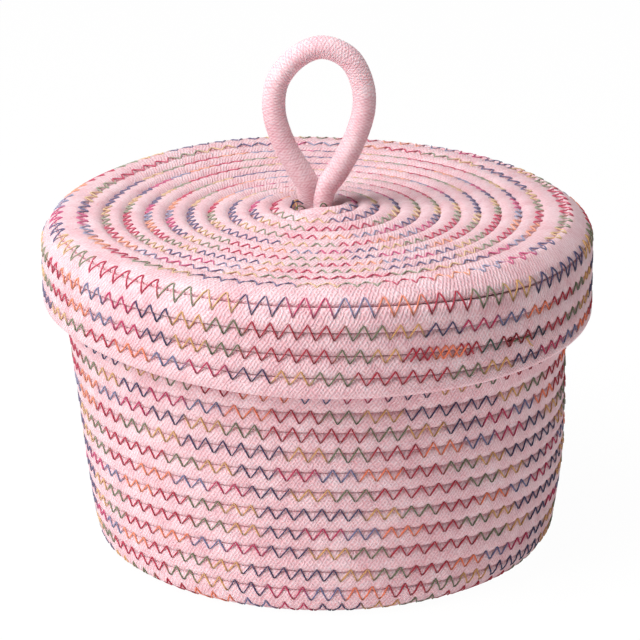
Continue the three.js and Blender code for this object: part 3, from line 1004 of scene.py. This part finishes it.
handle = loop_rope()
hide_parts("handle_loop", "handle_tail_left", "handle_tail_right")
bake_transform(handle)
print("handle faces:", len(handle.data.polygons))

# %% [markdown]
# A few threads don't belong to the zigzag. A stretch of the skirt's seam was sewn over twice, ends in
# a knot and leaves two loose ends, and some long stitches tack the loop's left leg to the lid. They
# are few and each lies in its own way, so each has a short list of points: in mm for a tack, and in
# loops and mm across the seam for a loose end.

# %% Loose threads
DOUBLED_PHASE = 0.42
DOUBLED_LIFT = 0.25 * mm
KNOT_LOOPS = 13.1275
KNOT_PLACE = (-0.4 * mm, 0.3 * mm)
KNOT_HALF_SIZES = (0.85 * mm, 0.75 * mm, 0.45 * mm)
KNOT_RADIUS = 0.36 * mm
KNOT_COLOUR = (0.20, 0.012, 0.02)
END_LIFT = 0.25 * mm
LOOSE_STEP = 0.4 * mm
TACKS = (
    (((-9.4, 1.6, 125.4), (-9.5, -0.6, 126.6), (-9.9, -3.4, 126.2), (-10.1, -4.6, 125.2)), NAVY),
    (((-10.6, -4.3, 125.1), (-9.2, -3.9, 126.9), (-7.4, -3.7, 127.2), (-5.9, -3.2, 126.2)), NAVY),
    (((-9.7, -4.4, 125.4), (-8.8, -2.6, 126.9), (-8.0, -1.0, 127.0), (-7.4, 0.2, 126.0)), GOLD),
    (((-9.0, 0.9, 125.6), (-8.9, -1.8, 127.0), (-8.4, -4.6, 126.6), (-8.0, -7.0, 125.0)), GOLD),
    (((-8.9, -7.2, 125.0), (-7.7, -6.4, 126.3), (-6.4, -5.9, 126.1), (-5.2, -5.4, 125.0)), GREEN),
    (((0.2, -4.6, 125.4), (1.0, -4.9, 126.8), (1.9, -4.8, 126.6), (2.6, -4.4, 125.6)), GREEN),
)


def beside_seam(seam, loops, across, lift):
    """A point over the outside of a seam: across it towards the next course, and off the rope."""
    loops, across, lift = np.atleast_1d(loops, across, lift)
    middle, along_profile, out = seam.coil.at(loops)
    half = seam.coil.section(loops)[0]
    height = crown(seam.coil, loops, half - np.abs(across), 1)
    return middle + (half + across)[:, None] * along_profile + (height + lift)[:, None] * out, out


def loose_thread(name, points, colour, off=UP):
    """A thread of one colour along a smooth curve through these points."""
    line, _ = resample(smooth_curve(points, 12), LOOSE_STEP)
    return thread_piece(name, "lid", line, off, [*colour, 1.0])


for order, (points, colour) in enumerate(TACKS, 1):
    threads.append(loose_thread(f"lid_tack_{order}", np.array(points) * mm, colour))


def doubled_seam():
    """The second run of the seam that was sewn over twice, a little under half a stitch out of step."""
    count = stitch_counts(lid_seam, REPAIR_START, REPAIR_END)
    points, off, _ = seam_points(lid_seam, count, 1, DOUBLED_PHASE)
    colours = lid_tint(lid_seam.where(count))
    return thread_piece("lid_seam_doubled", "lid", points + DOUBLED_LIFT * off, off, colours)


def knot():
    """A tight ball of three turns of thread, on the seam where the sewing stopped: a circle that
    is pressed a little flat, while the thread sways in and out at a different pace."""
    turn = np.linspace(0, 6 * math.pi, 73)
    centre, out = beside_seam(lid_seam, KNOT_LOOPS, *KNOT_PLACE)
    side = np.cross(out, UP)
    up = np.cross(side, out)
    waves = (np.cos(turn), np.sin(turn), np.sin(turn / 3 + 0.4) * np.cos(1.5 * turn))
    wide, tall, deep = (size * wave[:, None] for size, wave in zip(KNOT_HALF_SIZES, waves))
    line = centre + wide * side + tall * up + deep * out
    return thread_piece("lid_seam_knot", "lid", line, out, [*KNOT_COLOUR, 1.0], KNOT_RADIUS)


def loose_end(name, route, colour):
    """A loose end that lies on the rope along a route of loops and distances across the seam."""
    loops, across = np.array(route).T
    line, out = beside_seam(lid_seam, loops, across * mm, END_LIFT)
    return loose_thread(name, line, colour, out[0])


threads.append(doubled_seam())
threads.append(knot())
ENDS = (
    (((13.1275, 0.1), (13.131, 0.6), (13.136, 0.3), (13.141, 0.6), (13.145, 0.4)), GREEN),
    (((13.141, 0.5), (13.142, 1.8), (13.1435, 3.1), (13.1455, 4.1)), GOLD),
)
for order, (route, colour) in enumerate(ENDS, 1):
    threads.append(loose_end(f"lid_seam_end_{order}", route, colour))
print("threads in all:", len(threads))

# %% [markdown]
# Materials are written as sums. A small class wraps one output of a node, and arithmetic on it adds
# the Math nodes, so a pattern reads as its formula does. The nodes could be linked one by one, but
# that takes ten lines for each sum. Any other node comes from the sheet's node method.

# %% A sheet of shader nodes


class Value:
    """One output of a shader node. Arithmetic with numbers and other values adds Math nodes."""

    def __init__(self, sheet, socket):
        self.sheet = sheet
        self.socket = socket

    def math(self, operation, *others):
        inputs = dict(enumerate((self, *others)))
        return self.sheet.node("ShaderNodeMath", {"operation": operation}, inputs)

    def __add__(self, other):
        return self.math("ADD", other)

    def __mul__(self, other):
        return self.math("MULTIPLY", other)

    def __sub__(self, other):
        return self.math("SUBTRACT", other)

    def __rsub__(self, other):
        return self.sheet.node("ShaderNodeMath", {"operation": "SUBTRACT"}, {0: other, 1: self})

    def __truediv__(self, other):
        return self.math("DIVIDE", other)

    def __pow__(self, other):
        return self.math("POWER", other)

    __radd__ = __add__
    __rmul__ = __mul__


class Sheet:
    """A material's node tree with one method that makes any node."""

    def __init__(self, tree):
        self.tree = tree
        tree.nodes.clear()

    def node(self, kind, settings=None, values=None, output=0):
        """A new node of this kind. Its settings are set first, then the values or links of its
        inputs, which are told by name or number. Gives one of its outputs back."""
        made = self.tree.nodes.new(kind)
        for key, setting in (settings or {}).items():
            setattr(made, key, setting)
        for key, value in (values or {}).items():
            if isinstance(value, Value):
                self.tree.links.new(value.socket, made.inputs[key])
            else:
                made.inputs[key].default_value = value
        return Value(self, made.outputs[output]) if made.outputs else None

    def mix(self, share, low, high):
        """A colour between two colours."""
        return self.node("ShaderNodeMix", {"data_type": "RGBA"}, {0: share, 6: low, 7: high}, 2)


def rope_lay(sheet):
    """How far round the rope, in turns, and how far along it, in metres."""
    lay = sheet.node("ShaderNodeUVMap", {"uv_map": "lay"})
    return (sheet.node("ShaderNodeSeparateXYZ", None, {0: lay}, output=axis) for axis in (0, 1))


def new_sheet(name):
    """A new material with an empty sheet."""
    made = bpy.data.materials.new(name)
    made.use_nodes = True
    return made, Sheet(made.node_tree)


# %% [markdown]
# Cotton rope is matt and a little downy, and light goes some way into it, which keeps its shadows
# pink. Its cover is braided from soft yarns, and its dye is uneven from place to place. The pattern
# is worked out from the map that goes round and along the rope. The furrows between the yarns and the
# sides that are pressed together in a groove are drawn deeper in colour, as painted shade. Three
# noises, each with its scale and detail, make the yarns wander, the dye uneven and the surface downy.

# %% Cotton rope
ROPE_LIGHT = (0.90, 0.67, 0.71, 1)
ROPE_DEEP = (0.67, 0.31, 0.36, 1)
LOOP_LIGHT = (0.90, 0.70, 0.735, 1)
LOOP_DEEP = (0.71, 0.34, 0.40, 1)
NOISES = ((330.0, 3.0), (110.0, 3.0), (1500.0, 4.0))
YARN_WANDER = 1.6
DOWN_RELIEF = 0.9
RELIEF_SHADE = 0.62
WANDER_SHADE = 0.6
EVEN_SHADE = 0.26
# Where round the rope the painted shade of the grooves lies, and how sharply it ends.
GROOVE_PLACE = 0.25
GROOVE_SHARPNESS = 2.6


def cotton(name, light, deep, spacing, yarns, lean, height, groove_shade):
    """Braided cotton: squared sines of the length along the rope plus or minus the turn round it,
    that take turns by a product of two sines, with fine noise over them. The colour is deeper in
    the furrows, as painted shade, and by a noise from place to place, as uneven dye.

    spacing is from yarn to yarn along the rope and yarns is how many go round it. lean is
    the share of yarns that lean one way, height is the bump's, and the last argument is the painted
    shade of the grooves: how much deeper the colour is drawn at the rope's sides."""
    made, sheet = new_sheet(name)
    around, along = rope_lay(sheet)
    place = sheet.node("ShaderNodeTexCoord", output=3)
    wander, uneven, down = (
        sheet.node("ShaderNodeTexNoise", None, {"Vector": place, "Scale": scale, "Detail": detail}) - 0.5
        for scale, detail in NOISES
    )
    ridge, crossed = (
        ((along / spacing + around * way + wander * YARN_WANDER) * math.pi).math("SINE") ** 2.0
        for way in (yarns, -yarns)
    )
    over = (along * (math.pi / spacing)).math("SINE") * (around * (math.pi * yarns)).math("SINE")
    share = over * (0.5 - abs(lean - 0.5)) + lean
    relief = ridge * share + crossed * (1 - share) + down * DOWN_RELIEF
    crest = (around * (2 * math.pi)).math("COSINE") * -1.0
    # Painted shade: the colour is deepened at the rope's sides along the grooves between courses, and in
    # the yarns' furrows.
    side = 1 - ((crest - GROOVE_PLACE).math("ABSOLUTE") * GROOVE_SHARPNESS).math("MINIMUM", 1.0)
    shade = relief * RELIEF_SHADE + uneven + wander * WANDER_SHADE + EVEN_SHADE - side * groove_shade
    colour = sheet.mix(shade.math("MINIMUM", 1.0).math("MAXIMUM", 0.0), deep, light)
    bump = sheet.node("ShaderNodeBump", None, {"Strength": 1.0, "Distance": height, "Height": relief})
    rough = down * 0.12 + 0.9
    surface = sheet.node(
        "ShaderNodeBsdfPrincipled", None,
        {"Base Color": colour, "Roughness": rough, "Normal": bump, "Specular IOR Level": 0.2,
         "Sheen Weight": 0.2, "Sheen Roughness": 0.5, "Subsurface Weight": 0.3,
         "Subsurface Radius": (1.0, 0.5, 0.45), "Subsurface Scale": 1.2 * mm},
    )
    sheet.node("ShaderNodeOutputMaterial", None, {"Surface": surface})
    return made


rope_cotton = cotton(
    "cotton_rope", ROPE_LIGHT, ROPE_DEEP,
    spacing=1.38 * mm, yarns=16, lean=0.66, height=0.27 * mm, groove_shade=0.22,
)
loop_cotton = cotton(
    "cotton_loop_rope", LOOP_LIGHT, LOOP_DEEP,
    spacing=YARN_SPACING, yarns=YARN_COUNT, lean=0.5, height=0.10 * mm, groove_shade=0.0,
)

# %% [markdown]
# The sewing thread is smoother than the rope and twisted from fine plies. Its colours could be a
# picture, but they are an attribute of the thread's points, so one finish does for every stitch.

# %% Sewing thread
PLY_SPACING = 0.55 * mm
PLY_HEIGHT = 0.08 * mm
PLY_SHADE = 0.35


def dyed_thread():
    """The plies are a sine's size that goes along the thread and round it. Between them the dye,
    which each point of the thread carries, is darkened as painted shade."""
    made, sheet = new_sheet("sewing_thread")
    around, along = rope_lay(sheet)
    plies = ((along / PLY_SPACING + around * 2.0) * math.pi).math("SINE").math("ABSOLUTE")
    # The dye attribute carries the thread's colours together with the painted light and painted shade
    # worked into them.
    hue = sheet.node("ShaderNodeAttribute", {"attribute_name": "dye"})
    # Painted shade: between the plies the colour goes towards black.
    colour = sheet.mix(plies * PLY_SHADE + (1 - PLY_SHADE), (0.0, 0.0, 0.0, 1), hue)
    bump = sheet.node("ShaderNodeBump", None, {"Strength": 0.6, "Distance": PLY_HEIGHT, "Height": plies})
    surface = sheet.node(
        "ShaderNodeBsdfPrincipled", None,
        {"Base Color": colour, "Roughness": 0.55, "Normal": bump, "Specular IOR Level": 0.3},
    )
    sheet.node("ShaderNodeOutputMaterial", None, {"Surface": surface})
    return made


thread_finish = dyed_thread()

# %% [markdown]
# Each piece gets one finish. The two cottons differ in colour and braid, as the two kinds of rope do.

# %% Finishes on their pieces
for piece in (*basket_ropes, *lid_ropes):
    piece.data.materials.append(rope_cotton)
for piece in threads:
    piece.data.materials.append(thread_finish)
handle.data.materials.append(loop_cotton)
print("finished pieces:", len(basket_ropes) + len(lid_ropes) + len(threads) + 1)

# %% [markdown]
# The stage is a pale floor that shows as white to the camera and keeps a soft shadow, with a white
# world behind it. A large lamp on the left and towards the front lights that side and the top, a
# weaker one stands high over the front, and the right side is left to a dim sky and to the light that
# comes off the floor, which glows a little for every ray but those that see it. Each lamp has a name,
# a place and a side in metres and a power in watts.

# %% Floor, world and lamps
FLOOR_SIZE = 3.0
FLOOR_COLOUR = (0.80, 0.785, 0.78, 1)
FLOOR_WHITE_SHARE = 0.96
FLOOR_GLOW = 0.36
SKY_COLOUR = (1.0, 0.97, 0.96, 1)
SKY_STRENGTH = 0.13
LAMP_AIM = np.array([0, 0, 0.07])
LAMPS = (("key", (-1.02, -0.56, 0.92), 0.8, 16.0), ("high", (-0.30, -0.30, 1.44), 0.8, 15.0))


def seen_rays(sheet):
    """1 for rays that see the stage: from the camera, in a reflection or through glass."""
    path = sheet.tree.nodes.new("ShaderNodeLightPath")
    kinds = ("Is Camera Ray", "Is Glossy Ray", "Is Transmission Ray")
    camera_ray, glossy, through = (Value(sheet, path.outputs[kind]) for kind in kinds)
    return camera_ray.math("MAXIMUM", glossy).math("MAXIMUM", through)


def end_in_white(sheet, lamp_kind, lit, share, end_kind):
    """Ends a sheet: this share of white for the rays that see the stage, and lit for the others."""
    white = sheet.node(lamp_kind, None, {"Color": (1, 1, 1, 1), "Strength": 1.0})
    mixed = sheet.node("ShaderNodeMixShader", None, {0: seen_rays(sheet) * share, 1: lit, 2: white})
    sheet.node(end_kind, None, {"Surface": mixed})


def stage_floor():
    """A flat square that is matt and glows, and is white to the rays that see it."""
    half = FLOOR_SIZE / 2
    mesh = bpy.data.meshes.new("floor")
    corners = [(-half, -half, 0), (half, -half, 0), (half, half, 0), (-half, half, 0)]
    mesh.from_pydata(corners, [], [(0, 1, 2, 3)])
    made, sheet = new_sheet("pale_floor")
    matt = sheet.node("ShaderNodeBsdfDiffuse", None, {"Color": FLOOR_COLOUR})
    glow = sheet.node("ShaderNodeEmission", None, {"Color": (1, 1, 1, 1), "Strength": FLOOR_GLOW})
    lit = sheet.node("ShaderNodeAddShader", None, {0: matt, 1: glow})
    end_in_white(sheet, "ShaderNodeEmission", lit, FLOOR_WHITE_SHARE, "ShaderNodeOutputMaterial")
    mesh.materials.append(made)
    floor = add_object("floor", mesh)


def white_world():
    """A dim sky for the light, and white for the rays that see it."""
    world = bpy.data.worlds.new("world")
    world.use_nodes = True
    sheet = Sheet(world.node_tree)
    sky = sheet.node("ShaderNodeBackground", None, {"Color": SKY_COLOUR, "Strength": SKY_STRENGTH})
    end_in_white(sheet, "ShaderNodeBackground", sky, 1.0, "ShaderNodeOutputWorld")
    bpy.context.scene.world = world


def lamp(name, place, size, power):
    """A square lamp whose back points straight away from the basket's middle."""
    light = bpy.data.lights.new(name, "AREA")
    light.size = size
    light.energy = power
    back = unit(np.array(place) - LAMP_AIM)
    add_object(name, light).matrix_world = standing(unit(np.cross(UP, back)), back, place)


stage_floor()
white_world()
for values in LAMPS:
    lamp(*values)
print("stage: a floor, a world and", len(LAMPS), "lamps")
